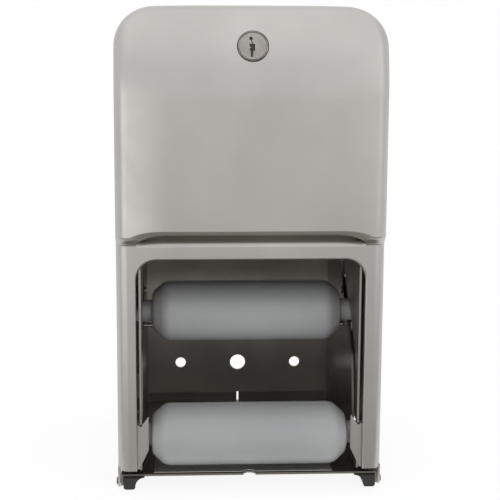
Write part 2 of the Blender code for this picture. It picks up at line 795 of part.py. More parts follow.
satin_steel = finish("satin_steel", (0.56, 0.55, 0.52), 0.34, 1.0)
mill_steel = finish("mill_steel", (0.30, 0.30, 0.29), 0.28, 1.0)
bright_steel = finish("bright_steel", (0.62, 0.62, 0.60), 0.25, 1.0)
nickel = finish("nickel", (0.50, 0.49, 0.46), 0.30, 1.0)
white_plastic = finish("white_plastic", (0.78, 0.79, 0.77), 0.42, 0.0)
black_plastic = finish("black_plastic", (0.02, 0.02, 0.02), 0.45, 0.0)
pale_label = finish("pale_label", (0.70, 0.70, 0.68), 0.55, 0.0)

dress(make_back_panel(), mill_steel)
dress(make_floor_pan(), mill_steel)
dress(make_top_rail(), mill_steel)
label = block("label_plate", (-label_left, -pan_front + label_setback, up(pan_top) + gap),
              (label_right, -pan_front + label_setback + label_depth, up(pan_top) + gap + label_sheet))
cut(label, pin_hole((0, 0, 1), (0, -pan_front, up(pan_top)), thumb_radius + gap, overrun))
dress(label, pale_label)

hinge_axis = joint_empty("door_hinge_axis", Matrix.Translation((0, -pivot_out, up(pivot_height))))
lock_axis = joint_empty("lock_axis", lock_place)
dress(make_hood(), satin_steel, hinge_axis)
lock_body, lock_nut, *turning = make_lock()
for made in (lock_body, lock_nut, lock_axis):
    made.parent = hinge_axis
    made.matrix_parent_inverse = hinge_axis.matrix_world.inverted()
bpy.context.view_layer.update()
dress(lock_body, nickel)
dress(lock_nut, bright_steel)
for made in turning:
    dress(made, nickel, lock_axis)

for name, out, level in (("upper_spindle", upper_out, upper_height), ("lower_spindle", lower_out, lower_height)):
    axis = joint_empty(name + "_axis", Matrix.Translation((0, -out, up(level))))
    dress(make_spindle(name, out, level), white_plastic, axis)

for side, word in sides.items():
    plate_face = plate_outer + gap
    latch_face = plate_face + sheet + gap
    two_sheets = 2 * sheet + 3 * gap
    outward = (side, 0, 0)
    dress(make_side_plate(side), mill_steel)
    dress(make_tab(side), satin_steel, hinge_axis)
    dress(make_hinge_block(side), black_plastic)
    hinge_face = width / 2 + gap
    dress(rivet("hinge_rivet_" + word, outward, (side * hinge_face, -pivot_out, up(pivot_height)), pivot_radius,
                head_radius, hinge_face - block_inner - sheet - gap), bright_steel)
    dress(rivet("block_screw_" + word, (0, 0, 1), (side * block_middle, -screw_out, up(pan_top) + gap),
                screw_radius, screw_head, screw_length), bright_steel)
    for index, out in enumerate(rail_rivets_out, 1):
        dress(rivet(f"rail_rivet_{word}_{index}", outward, (side * plate_face, -out, up(rail_rivet_height)),
                    rivet_radius, rivet_head, two_sheets, rivet_head), bright_steel)
    for index, level in enumerate(back_rivet_heights, 1):
        dress(rivet(f"back_rivet_{word}_{index}", (0, -1, 0),
                    (side * flange_middle, flange_front - gap, up(level)),
                    rivet_radius, rivet_head, -flange_front), bright_steel)
    for index, out in enumerate(floor_rivets_out, 1):
        dress(rivet(f"floor_rivet_{word}_{index}", (0, 0, 1),
                    (side * flange_middle, -out, up(pan_top) + 2 * gap + sheet),
                    rivet_radius, rivet_head, two_sheets, rivet_head), bright_steel)
    latch_axis = joint_empty("latch_axis_" + word, Matrix.Translation((0, -latch_out, up(latch_height))))
    dress(rivet("latch_pivot_" + word, outward, (side * latch_face, -latch_out, up(latch_height)), latch_bolt,
                rivet_head, two_sheets, rivet_head), bright_steel)
    dress(make_latch(side), mill_steel, latch_axis)
    pin_place = (side * latch_face, -latch_out - latch_pin_back, up(latch_height) - latch_pin_drop)
    dress(rivet("latch_pin_" + word, outward, pin_place, latch_pin_radius, rivet_head,
                latch_face - latch_pin_reach), bright_steel, latch_axis)
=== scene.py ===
# Double roll toilet paper dispenser, dressed for a studio picture
from math import asin, cos, pi, radians, sin, tan

import bmesh
import bpy
from mathutils import Matrix, Vector


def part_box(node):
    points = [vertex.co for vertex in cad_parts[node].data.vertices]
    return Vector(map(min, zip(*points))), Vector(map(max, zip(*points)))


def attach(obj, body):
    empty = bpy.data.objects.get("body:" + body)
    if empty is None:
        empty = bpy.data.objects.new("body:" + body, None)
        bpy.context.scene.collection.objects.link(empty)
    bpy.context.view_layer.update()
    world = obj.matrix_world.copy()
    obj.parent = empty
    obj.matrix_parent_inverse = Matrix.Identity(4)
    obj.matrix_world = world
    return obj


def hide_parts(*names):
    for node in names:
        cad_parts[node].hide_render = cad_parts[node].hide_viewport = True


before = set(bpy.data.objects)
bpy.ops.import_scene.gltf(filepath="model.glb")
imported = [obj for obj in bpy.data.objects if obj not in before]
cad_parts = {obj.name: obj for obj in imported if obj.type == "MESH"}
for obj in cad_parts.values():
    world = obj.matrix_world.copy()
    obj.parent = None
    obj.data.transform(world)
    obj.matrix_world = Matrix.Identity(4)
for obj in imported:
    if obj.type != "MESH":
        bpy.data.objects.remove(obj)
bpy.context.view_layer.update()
foot = -0.140  # heights are counted from here
print("frame loaded,", len(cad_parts), "nodes")


# Small tools

near = {"weld": 0.000002, "point": 0.000001, "flat": 0.00001, "side": 0.0001}  # what counts as one place
through = 0.01  # how far a cutter reaches through sheet


def up(height):
    return foot + height


def letGo():
    if bpy.context.object and bpy.context.object.mode != "OBJECT":
        bpy.ops.object.mode_set(mode="OBJECT")
    bpy.ops.object.select_all(action="DESELECT")


def take(piece):
    letGo()
    piece.select_set(True)
    bpy.context.view_layer.objects.active = piece


def edit(piece):
    take(piece)
    bpy.ops.object.mode_set(mode="EDIT")


def done(name=None):
    bpy.ops.object.mode_set(mode="OBJECT")
    made = bpy.context.object
    if name:
        made.name = made.data.name = name
    return made


def pick(kind, test):
    mesh = bpy.context.object.data
    bpy.ops.mesh.select_mode(type=kind)
    bpy.ops.mesh.select_all(action="DESELECT")
    form = bmesh.from_edit_mesh(mesh)
    for item in {"VERT": form.verts, "EDGE": form.edges}[kind]:
        item.select_set(bool(test(item)))
    form.select_flush_mode()
    bmesh.update_edit_mesh(mesh)


def middle(item):
    points = [vert.co for vert in item.verts]
    return sum(points, Vector()) / len(points)


def settle(piece):
    take(piece)
    bpy.ops.object.transform_apply(location=True, rotation=True, scale=True)
    return piece


def apply(piece, kind, **settings):
    take(piece)
    change = piece.modifiers.new(kind.title(), kind)
    for key, value in settings.items():
        setattr(change, key, value)
    bpy.ops.object.modifier_apply(modifier=change.name)
    return piece


def carve(piece, tool, operation="DIFFERENCE"):
    apply(piece, "BOOLEAN", operation=operation, solver="MANIFOLD", object=tool)
    bpy.data.objects.remove(tool)
    return piece


def smooth(piece, angle):
    take(piece)
    bpy.ops.object.shade_smooth_by_angle(angle=radians(angle))
    return apply(piece, "WEIGHTED_NORMAL", keep_sharp=True, weight=60)


def weld():
    bpy.ops.mesh.select_all(action="SELECT")
    bpy.ops.mesh.remove_doubles(threshold=near["weld"])


def tidy(piece, angle):
    edit(piece)
    weld()
    bpy.ops.mesh.normals_make_consistent(inside=False)
    done()
    return smooth(piece, angle)


def drum(radius, depth, place, toward="Z", sides=64, name="drum"):
    turn = {"X": (0, pi / 2, 0), "Y": (pi / 2, 0, 0), "Z": (0, 0, 0)}[toward]
    letGo()
    bpy.ops.mesh.primitive_cylinder_add(vertices=sides, radius=radius, depth=depth, location=place,
                                        rotation=turn)
    made = bpy.context.object
    made.name = made.data.name = name
    return settle(made)


def box(low, high, name="box"):
    size = [b - a for a, b in zip(low, high)]
    letGo()
    bpy.ops.mesh.primitive_cube_add(size=1, location=[(a + b) / 2 for a, b in zip(low, high)])
    made = bpy.context.object
    made.name = made.data.name = name
    made.scale = size
    return settle(made)


def lathe(name, profile, soft=(), toward="Z", turns=96):
    # profile holds (radius, along) points from one end of the line to the other
    # soft holds (point, radius) roundings, where point counts along the profile
    mesh = bpy.data.meshes.new(name)
    mesh.from_pydata([(radius, 0, along) for radius, along in profile],
                     [(index, index + 1) for index in range(len(profile) - 1)], [])
    made = bpy.data.objects.new(name, mesh)
    bpy.context.scene.collection.objects.link(made)
    edit(made)
    for point, radius in soft:
        place = Vector((profile[point][0], 0, profile[point][1]))
        pick("VERT", lambda vert: (vert.co - place).length < near["point"])
        bpy.ops.mesh.bevel(offset=radius, segments=6, affect="VERTICES")
    bpy.ops.mesh.select_all(action="SELECT")
    bpy.ops.mesh.spin(steps=turns, angle=2 * pi, center=(0, 0, 0), axis=(0, 0, 1))
    bpy.ops.mesh.select_all(action="SELECT")
    bpy.ops.mesh.remove_doubles(threshold=near["point"])
    bpy.ops.mesh.normals_make_consistent(inside=False)
    done()
    if toward == "X":
        made.data.transform(Matrix.Rotation(pi / 2, 4, "Y"))
    return made


def give(piece, finish, body, slotName, *nodes):
    piece.data.materials.clear()
    piece.data.materials.append(finish)
    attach(piece, body)
    if nodes:
        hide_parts(*nodes)


# Finishes, all from noise on the object's own coordinates

noiseSpan = (0.3, 0.7)  # nearly all values of a noise texture lie in here
steel = {"smearScale": 2.3, "grainDepth": 0.0004}
plastic = {"skinDepth": 0.0003}


def blank(name):
    finish = bpy.data.materials.new(name)
    finish.use_nodes = True
    return finish, finish.node_tree, finish.node_tree.nodes["Principled BSDF"]


def put(tree, kind, **inputs):
    node = tree.nodes.new(kind)
    for key, value in inputs.items():
        node.inputs[key.replace("_", " ")].default_value = value
    return node


def reckon(tree, operation, first, second):
    step = tree.nodes.new("ShaderNodeMath")
    step.operation = operation
    for socket, value in zip(step.inputs, (first, second)):
        if isinstance(value, float):
            socket.default_value = value
        else:
            tree.links.new(value, socket)
    return step.outputs[0]


def noise(tree, stretch, detail, roughness=0.5, distortion=0.0):
    place = tree.nodes.new("ShaderNodeTexCoord")
    shift = tree.nodes.new("ShaderNodeMapping")
    shift.inputs["Scale"].default_value = stretch
    grain = put(tree, "ShaderNodeTexNoise", Scale=1.0, Detail=detail, Roughness=roughness,
                Distortion=distortion)
    tree.links.new(place.outputs["Object"], shift.inputs["Vector"])
    tree.links.new(shift.outputs["Vector"], grain.inputs["Vector"])
    return grain.outputs["Fac"]


def between(tree, source, low, high):
    start, end = noiseSpan
    spread = put(tree, "ShaderNodeMapRange", From_Min=start, From_Max=end, To_Min=low, To_Max=high)
    tree.links.new(source, spread.inputs["Value"])
    return spread.outputs["Result"]


def tint(tree, source, dark, light):
    ramp = tree.nodes.new("ShaderNodeValToRGB")
    for stop, position, colour in zip(ramp.color_ramp.elements, noiseSpan, (dark, light)):
        stop.position = position
        stop.color = (*colour, 1)
    tree.links.new(source, ramp.inputs["Fac"])
    return ramp.outputs["Color"]


def ridges(tree, source, shader, strength, distance):
    bump = put(tree, "ShaderNodeBump", Strength=strength, Distance=distance)
    tree.links.new(source, bump.inputs["Height"])
    tree.links.new(bump.outputs["Normal"], shader.inputs["Normal"])


def rolledSteel(name, dark, light, rough, spread, cloud, grain, relief):
    finish, tree, shader = blank(name)
    shader.inputs["Metallic"].default_value = 1.0
    clouds = noise(tree, cloud, detail=4, roughness=0.55)
    tree.links.new(tint(tree, clouds, dark, light), shader.inputs["Base Color"])
    lines = noise(tree, grain, detail=5, roughness=0.7)
    smearStretch = [value * steel["smearScale"] for value in cloud]
    smear = noise(tree, smearStretch, detail=3, roughness=0.6, distortion=0.4)
    fine = between(tree, lines, -0.5 * spread, 0.5 * spread)
    wide = between(tree, smear, rough - spread, rough + spread)
    tree.links.new(reckon(tree, "ADD", fine, wide), shader.inputs["Roughness"])
    ridges(tree, lines, shader, relief, steel["grainDepth"])
    return finish


def moulded(name, dark, light, low, high, cloud, skin, relief, subsurface=None):
    finish, tree, shader = blank(name)
    tree.links.new(tint(tree, noise(tree, cloud, detail=2), dark, light), shader.inputs["Base Color"])
    tree.links.new(between(tree, noise(tree, skin, detail=4), low, high), shader.inputs["Roughness"])
    ridges(tree, noise(tree, skin, detail=3), shader, relief, plastic["skinDepth"])
    for key, value in (subsurface or {}).items():
        shader.inputs["Subsurface " + key].default_value = value
    return finish


satinSteel = rolledSteel("satinSteel", dark=(0.435, 0.422, 0.402), light=(0.505, 0.490, 0.468),
                         rough=0.34, spread=0.05, cloud=(14, 14, 10), grain=(60, 60, 2600), relief=0.035)
# painted shade: the mill steel inside the cabinet is set darker than the hood's steel, for the shade inside
# the cabinet
shadedMillSteel = rolledSteel("shadedMillSteel", dark=(0.34, 0.319, 0.287), light=(0.42, 0.394, 0.356),
                        rough=0.36, spread=0.06, cloud=(16, 16, 22), grain=(900, 900, 40), relief=0.02)
# painted shade: the floor pan's steel, also used for the hinge rivets, is set much darker, for the shade
# along the pan's front and at the feet
shadedFootSteel = rolledSteel("shadedFootSteel", dark=(0.17, 0.160, 0.145), light=(0.23, 0.216, 0.195),
                       rough=0.40, spread=0.06, cloud=(16, 16, 22), grain=(900, 60, 900), relief=0.02)
brightSteel = rolledSteel("brightSteel", dark=(0.46, 0.455, 0.44), light=(0.56, 0.55, 0.53),
                          rough=0.24, spread=0.05, cloud=(90, 90, 90), grain=(900, 900, 900), relief=0.03)
# painted shade: the lock's nickel is set darker, for the shading across the dished lock face
shadedLockNickel = rolledSteel("shadedLockNickel", dark=(0.27, 0.252, 0.230), light=(0.36, 0.338, 0.310),
                         rough=0.28, spread=0.05, cloud=(140, 140, 140), grain=(1500, 1500, 1500),
                         relief=0.04)
blankPlate = rolledSteel("blankPlate", dark=(0.50, 0.50, 0.48), light=(0.58, 0.58, 0.56),
                         rough=0.42, spread=0.06, cloud=(30, 30, 30), grain=(1200, 60, 60), relief=0.02)
# painted shade: the white spindle plastic is toned down to grey, for the shade the spindles sit in inside the
# cabinet
shadedMilkyPlastic = moulded("shadedMilkyPlastic", dark=(0.375, 0.383, 0.388), light=(0.425, 0.432, 0.434),
                       low=0.36, high=0.46, cloud=(20, 20, 20), skin=(700, 700, 700), relief=0.03,
                       subsurface={"Weight": 0.35, "Radius": (0.010, 0.011, 0.012), "Scale": 0.6})
blackPlastic = moulded("blackPlastic", dark=(0.010, 0.010, 0.009), light=(0.017, 0.017, 0.015),
                       low=0.38, high=0.50, cloud=(60, 60, 60), skin=(1400, 1400, 1400), relief=0.05)
print("finishes mixed")


# Hood, one drawn sheet with its panel, finger groove, header and legs

hood = {"half": 0.077, "height": 0.280, "foot": 0.0118, "rear": 0.003, "sheet": 0.0012,
        "legFront": 0.143, "panelFront": 0.1508, "stepLow": 0.1446, "stepHigh": 0.1505,  # the panel steps out
        "tilt": radians(25), "tiltTurn": 0.090, "browTurn": 0.024,  # it leans back and then turns over
        "edgeTurn": 0.007, "topTurn": 0.0225, "crown": 0.0008,  # front edges, top corners, rise of the top
        "crownStart": 0.046, "crownDrop": 0.0027, "crownStrips": 9,  # the panel's fall towards its sides
        "panelCuts": (0.162, 0.174, 0.190, 0.208), "stepCuts": 12, "tiltCuts": 16, "browCuts": 16,
        "topShares": ((0.93, 0.995), (0.85, 0.99), (0.72, 0.975), (0.58, 0.955), (0.42, 0.925), (0.25, 0.89)),
        "cornerCuts": 10, "flatAngle": radians(0.05), "spare": 0.010, "overcut": 0.00005}
groove = {"half": 0.0745, "lipHalf": 0.0655, "backHalf": 0.0635, "cornerRise": 0.0095, "cornerRun": 0.0218,
          "depth": 0.006, "panelFoot": 0.1514, "lip": 0.0034, "lipCuts": 8,
          "shoulderFoot": 0.1431, "shoulder": 0.0068, "shoulderTurn": radians(44), "shoulderCuts": 8}
opening = {"half": 0.0656, "top": 0.1366, "corner": 0.011, "rim": 0.0012, "rimDepth": 0.0029, "rimCuts": 6}
hinge = {"out": 0.136, "height": 0.0036, "pin": 0.0014, "lug": 0.0034, "play": 0.0003, "overlap": 0.0012}
lockHole = {"height": 0.2565, "radius": 0.0083, "length": 0.04}
turnStep = hood["tiltTurn"] - hood["browTurn"]
tiltStart = hood["height"] - hood["crown"] - hood["browTurn"] - turnStep * sin(hood["tilt"])
lockAngle = asin((lockHole["height"] - tiltStart) / hood["tiltTurn"])
lockPlace = (Matrix.Translation((0, -hood["panelFront"] + hood["tiltTurn"] * (1 - cos(lockAngle)),
                                 up(lockHole["height"])))
             @ Matrix.Rotation(pi / 2 - lockAngle, 4, "X"))


def hoodLevels(inset):
    # rows of (height, reach to the front, half width) from the foot to the top
    rise, run = hood["stepHigh"] - hood["stepLow"], hood["panelFront"] - hood["legFront"]
    lift = inset * (rise * rise + run * run) ** 0.5 / run
    tiltOut = hood["panelFront"] - hood["tiltTurn"]
    browOut = tiltOut + turnStep * cos(hood["tilt"])
    browHeight = tiltStart + turnStep * sin(hood["tilt"])
    levels = [(hood["foot"] - (hood["spare"] if inset else 0), hood["legFront"] - inset)]
    for cut in range(hood["stepCuts"] + 1):
        share = cut / hood["stepCuts"]
        levels.append((hood["stepLow"] + rise * share + lift,
                       hood["legFront"] + run * share * share * (3 - 2 * share) - inset))
    levels += [(level, hood["panelFront"] - inset) for level in hood["panelCuts"]]
    for cut in range(hood["tiltCuts"]):
        angle = hood["tilt"] * cut / hood["tiltCuts"]
        levels.append((tiltStart + (hood["tiltTurn"] - inset) * sin(angle),
                       tiltOut + (hood["tiltTurn"] - inset) * cos(angle)))
    for cut in range(hood["browCuts"] + 1):
        angle = hood["tilt"] + (pi / 2 - hood["tilt"]) * cut / hood["browCuts"]
        levels.append((browHeight + (hood["browTurn"] - inset) * sin(angle),
                       browOut + (hood["browTurn"] - inset) * cos(angle)))
    rows = []
    for level, front in levels:
        above = max(level - (hood["height"] - hood["crown"] - hood["topTurn"]), 0)
        side = max((hood["topTurn"] - inset) ** 2 - above ** 2, 0) ** 0.5
        rows.append((level, front, hood["half"] - hood["topTurn"] + side))
    for across, ahead in hood["topShares"]:
        rows.append((hood["height"] - inset - hood["crown"] * across ** 2, browOut * ahead,
                     (hood["half"] - hood["topTurn"]) * across))
    return rows


def cutStrips():
    width = (hood["half"] - hood["edgeTurn"] - hood["crownStart"]) / hood["crownStrips"]
    for strip in range(hood["crownStrips"] + 1):
        for side in (-1, 1):
            bpy.ops.mesh.select_all(action="SELECT")
            place = (side * (hood["crownStart"] + width * strip), 0, 0)
            bpy.ops.mesh.bisect(plane_co=place, plane_no=(1, 0, 0))


def hoodForm(inset):
    rows = hoodLevels(inset)
    back = hood["rear"] - (hood["spare"] if inset else 0)
    level, front, half = rows[0]
    letGo()
    bpy.ops.mesh.primitive_plane_add(size=1, location=(0, -(front + back) / 2, up(level)))
    form = bpy.context.object
    form.scale = (2 * half, front - back, 1)
    settle(form)
    edit(form)
    pick("VERT", lambda vert: vert.co.y < -front + near["side"])
    bpy.ops.mesh.bevel(offset=hood["edgeTurn"] - inset, segments=hood["cornerCuts"], affect="VERTICES")
    cutStrips()
    bpy.ops.mesh.select_all(action="SELECT")
    for last, row in zip(rows, rows[1:]):
        bpy.ops.mesh.extrude_region_move(TRANSFORM_OT_translate={"value": (0, 0, row[0] - last[0])})
        bpy.ops.transform.resize(value=(row[2] / last[2], (row[1] - back) / (last[1] - back), 1),
                                 center_override=(0, -back, up(row[0])))
    bpy.ops.mesh.select_all(action="SELECT")
    bpy.ops.mesh.normals_make_consistent(inside=False)
    return done("hoodHollow" if inset else "hoodShell")


def drawnTool(name, rows, rise, run=None):
    # rows of (y, half width, low, high) from the front to the back, with rounded top corners
    y, half, low, high = rows[0]
    letGo()
    bpy.ops.mesh.primitive_plane_add(size=1, location=(0, y, (low + high) / 2), rotation=(pi / 2, 0, 0))
    tool = bpy.context.object
    tool.scale = (2 * half, high - low, 1)
    settle(tool)
    edit(tool)
    pick("VERT", lambda vert: vert.co.z > high - near["side"])
    bpy.ops.mesh.bevel(offset=rise, segments=hood["cornerCuts"], affect="VERTICES")
    if run:  # the top corners are drawn out sideways
        for side in (-1, 1):
            pick("VERT", lambda vert: vert.co.x * side > half - rise - near["flat"])
            bpy.ops.transform.resize(value=(run / rise, 1, 1), center_override=(side * half, y, low))
    bpy.ops.mesh.select_all(action="SELECT")
    for last, row in zip(rows, rows[1:]):
        step = (0, row[0] - last[0], row[2] - last[2])
        bpy.ops.mesh.extrude_region_move(TRANSFORM_OT_translate={"value": step})
        bpy.ops.transform.resize(value=(row[1] / last[1], 1, (row[3] - row[2]) / (last[3] - last[2])),
                                 center_override=(0, row[0], row[2]))
    bpy.ops.mesh.select_all(action="SELECT")
    bpy.ops.mesh.normals_make_consistent(inside=False)
    return done(name)


def grooveTool(grown):
    lip, shoulder, turn = groove["lip"] - grown, groove["shoulder"] - grown, groove["shoulderTurn"]
    front, leg = -hood["panelFront"], -hood["legFront"] - hood["overcut"]
    low, top = up(groove["shoulderFoot"]), up(groove["panelFoot"]) + grown
    crest = up(groove["panelFoot"] + groove["lip"])
    half, lipHalf, backHalf = (groove[key] + grown for key in ("half", "lipHalf", "backHalf"))
    rows = [(front - hood["spare"], half, low, crest)]
    for cut in range(groove["lipCuts"] + 1):  # the panel's edge curls under, and its ends flare out
        angle = pi / 2 * cut / groove["lipCuts"]
        rows.append((front + groove["lip"] - (lip + hood["overcut"]) * cos(angle),
                     half + (lipHalf - half) * sin(angle), low, crest - lip * sin(angle)))
    reach = groove["depth"] + grown
    for cut in range(groove["shoulderCuts"] + 1):  # the header's edge rolls back into the groove
        angle = turn * cut / groove["shoulderCuts"]
        into = groove["shoulder"] - shoulder * cos(angle)
        rows.append((leg + into, lipHalf + (backHalf - lipHalf) * into / reach,
                     low + shoulder * sin(angle), top))
    rows.append((leg + reach, backHalf, low + shoulder * sin(turn) + (reach - into) / tan(turn), top))
    tool = drawnTool("grooveTool", rows, groove["cornerRise"] + grown, groove["cornerRun"] + grown)
    edit(tool)
    cutStrips()
    return done()


def openingTool():
    low, leg, rim = up(hood["foot"]) - hood["spare"], hood["legFront"], opening["rim"]
    half, top = opening["half"], up(opening["top"])
    rows = [(-leg - hood["spare"], half + rim, low, top + rim)]
    for cut in range(opening["rimCuts"] + 1):
        angle = pi / 2 * cut / opening["rimCuts"]
        grown = rim * (1 - sin(angle))
        rows.append((-leg - hood["overcut"] + rim * (1 - cos(angle)), half + grown, low, top + grown))
    rows.append((-leg + opening["rimDepth"] + hood["spare"], half, low, top))
    return drawnTool("openingTool", rows, opening["corner"] + rim)


def crownPanel(piece):
    # the panel's face falls away a little towards both of its sides
    for vert in piece.data.vertices:
        blend = min(max((vert.co.z - up(hood["stepLow"])) / (hood["stepHigh"] - hood["stepLow"]), 0), 1)
        share = max(abs(vert.co.x) - hood["crownStart"], 0) / (hood["half"] - hood["crownStart"])
        ahead = min(max(-vert.co.y / hood["legFront"], 0), 1)
        vert.co.y += hood["crownDrop"] * share ** 2 * blend * blend * (3 - 2 * blend) * ahead
    return piece


def addLug(shell, side):
    place = (side * (hood["half"] - hood["sheet"] / 2), -hinge["out"], up(hinge["height"]))
    lug = drum(hinge["lug"], hood["sheet"], place, "X", sides=40, name="lug")
    low, high = sorted((side * (hood["half"] - hood["sheet"]), side * hood["half"]))
    carve(lug, box((low, -hinge["out"] - hinge["lug"], up(hinge["height"])),
                   (high, -hinge["out"] + hinge["lug"], up(hood["foot"] + hinge["overlap"]))), "UNION")
    carve(shell, lug, "UNION")
    carve(shell, drum(hinge["pin"] + hinge["play"], through, place, "X", sides=32))


def makeHood():
    hollow = carve(crownPanel(hoodForm(hood["sheet"])), crownPanel(grooveTool(hood["sheet"])))
    shell = carve(carve(crownPanel(hoodForm(0)), hollow), crownPanel(grooveTool(0)))
    leg, grown = hood["legFront"], hood["sheet"]
    form = (opening["half"] + grown, up(hood["foot"]), up(opening["top"]) + grown)
    rim = drawnTool("rim", [(-leg + grown / 2, *form), (-leg + opening["rimDepth"], *form)],
                    opening["corner"] + grown)
    carve(shell, rim, "UNION")  # thicker sheet round the opening, then its rounded edge
    carve(shell, openingTool())
    for side in (-1, 1):
        addLug(shell, side)
    hole = drum(lockHole["radius"], lockHole["length"], (0, 0, 0))
    hole.data.transform(lockPlace)
    carve(shell, hole)
    edit(shell)  # the header and the legs become one flat face again
    pick("EDGE", lambda edge: all(abs(vert.co.y + leg) < near["flat"]
                                  and vert.co.z < up(hood["stepLow"]) + near["flat"] for vert in edge.verts))
    bpy.ops.mesh.dissolve_limited(angle_limit=hood["flatAngle"])
    done()
    return tidy(shell, angle=32)


give(makeHood(), satinSteel, "door", "satin_steel", "hood")
print("hood drawn")


# Spindles, each turned about its own line

spindle = {"radius": 0.01825, "half": 0.0574, "slope": (0.008, 0.007), "stub": 0.0066, "stubEnd": 0.0675,
           "bore": 0.0036, "boreDepth": 0.018, "boreTurn": 0.0003, "endTurn": 0.0008, "neckTurn": 0.0006,
           "sideTurn": 0.0022, "shoulderTurn": 0.0030,
           "seam": 0.00016, "seamWidth": 0.0005, "seamTurnShare": 0.6}


def makeSpindle(node):
    low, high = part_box(node)
    line = [(a + b) / 2 for a, b in zip(low, high)]
    radius, half, stub, end = (spindle[key] for key in ("radius", "half", "stub", "stubEnd"))
    run, drop = spindle["slope"]
    left = [(0, -end + spindle["boreDepth"]), (spindle["bore"], -end + spindle["boreDepth"]),
            (spindle["bore"], -end), (stub, -end), (stub, -half), (radius - drop, -half),
            (radius, -half + run)]
    profile = left + [(a, -b) for a, b in left[::-1]]
    soft = [(3, spindle["endTurn"]), (4, spindle["neckTurn"]), (5, spindle["sideTurn"]),
            (6, spindle["shoulderTurn"])]
    soft += [(len(profile) - 1 - point, turn) for point, turn in soft]
    soft += [(2, spindle["boreTurn"]), (len(profile) - 3, spindle["boreTurn"])]
    piece = lathe(node + "Moulded", profile, soft, "X")
    for side in (-1, 1):  # the mould's parting line along the body
        ridge = box((-half + run, -spindle["seamWidth"] / 2, side * radius - spindle["seam"]),
                    (half - run, spindle["seamWidth"] / 2, side * radius + spindle["seam"]))
        edit(ridge)
        pick("EDGE", lambda edge: edge.calc_length() > radius)
        bpy.ops.mesh.bevel(offset=spindle["seam"] * spindle["seamTurnShare"], segments=2, affect="EDGES")
        done()
        carve(piece, ridge, "UNION")
    piece.data.transform(Matrix.Translation(line))
    return tidy(piece, angle=38)


for node, body in (("upper_spindle", "upper_roller"), ("lower_spindle", "lower_roller")):
    give(makeSpindle(node), shadedMilkyPlastic, body, "white_plastic", node)
print("spindles turned")


# Lock, made upright along Z and then set into the tilted panel

lock = {"ring": 0.0084, "ringHeight": 0.0011, "ringTurn": 0.0003, "mouthTurn": 0.00015, "barrel": 0.0080,
        "endTurn": 0.0004, "length": 0.0225, "face": 0.0078, "faceTurn": 0.0003, "faceGap": 0.0002,
        "recess": 0.0003, "plug": 0.005, "plugEnd": 0.0255, "plugSink": 0.0001, "play": 0.0003,
        "overlap": 0.0002, "overcut": 0.001}
slot = {"depth": 0.007, "top": 0.0012, "waist": -0.0028, "foot": -0.0063,  # it narrows at the waist
        "wide": 0.0030, "wideAcross": -0.0003, "narrow": 0.0013, "narrowAcross": -0.0006,
        "ward": 0.0007, "wardLow": -0.0009, "wardHigh": -0.0003, "wardSink": 0.0006,
        "dot": 0.0010, "dotAcross": -0.0010, "dotHeight": 0.0043, "line": 0.0005, "cut": 0.0012,
        "shadeGap": 0.00004, "shadeDepth": 0.0007}
# painted shade: a black ring stands in for the dark gap round the lock, set a little to the right and up
# where that shadow lies thicker
gapShade = {"inner": 0.0085, "outer": 0.0089, "height": 0.0006, "turn": 0.0002,
        "across": 0.00012, "above": 0.00024}  # it sits a little to the right and up
plugTop = lock["ringHeight"] - lock["plugSink"]


def lockBody():
    ring, high = lock["ring"], lock["ringHeight"]
    inner, hole = lock["face"] + lock["faceGap"], lock["plug"] + lock["play"]
    profile = [(hole, -lock["length"]), (lock["barrel"], -lock["length"]), (lock["barrel"], lock["play"]),
               (ring, lock["play"]), (ring, high), (inner, high), (inner, lock["recess"]),
               (hole, lock["recess"]), (hole, -lock["length"])]
    body = lathe("lockRing", profile, [(4, lock["ringTurn"]), (5, lock["mouthTurn"]), (1, lock["endTurn"])])
    body.data.transform(lockPlace)
    return tidy(body, angle=35)


def keyway(low, above, lineLow, inset):
    # the key's slot in two widths, the round mark over it and the line between them
    solids = []
    for across, width, foot, top in (
            (slot["wideAcross"], slot["wide"], slot["waist"], slot["top"]),
            (slot["narrowAcross"], slot["narrow"], slot["foot"], slot["waist"] + lock["overlap"])):
        solids.append(box((across - width / 2 + inset, foot + inset, low),
                          (across + width / 2 - inset, top - inset, above)))
    place = (slot["dotAcross"], slot["dotHeight"], (lineLow + above) / 2)
    solids.append(drum(slot["dot"] - inset, above - lineLow, place, sides=32))
    slope = Vector((slot["wideAcross"] - slot["dotAcross"], slot["top"] - slot["dotHeight"], 0))
    line = box((-slot["line"] / 2 + inset, 0, lineLow), (slot["line"] / 2 - inset, slope.length, above))
    line.data.transform(Matrix.Translation((slot["dotAcross"], slot["dotHeight"], 0))
                        @ Matrix.Rotation(slope.to_2d().angle_signed(Vector((0, 1))), 4, "Z"))
    return solids + [line]


def lockPlug():
    face = lock["recess"] + lock["play"]
    profile = [(0, -lock["plugEnd"]), (lock["plug"], -lock["plugEnd"]), (lock["plug"], face),
               (lock["face"], face), (lock["face"], plugTop), (0, plugTop)]
    plug = lathe("lockPlug", profile, [(4, lock["faceTurn"]), (1, lock["endTurn"])])
    for solid in keyway(plugTop - slot["depth"], plugTop + lock["overcut"], plugTop - slot["cut"], 0):
        carve(plug, solid)
    wall = slot["wideAcross"] - slot["wide"] / 2
    ward = box((wall - lock["overlap"], slot["wardLow"], plugTop - slot["depth"] - lock["overlap"]),
               (wall + slot["ward"], slot["wardHigh"], plugTop - slot["wardSink"]))
    carve(plug, ward, "UNION")
    plug.data.transform(lockPlace)
    return tidy(plug, angle=30)


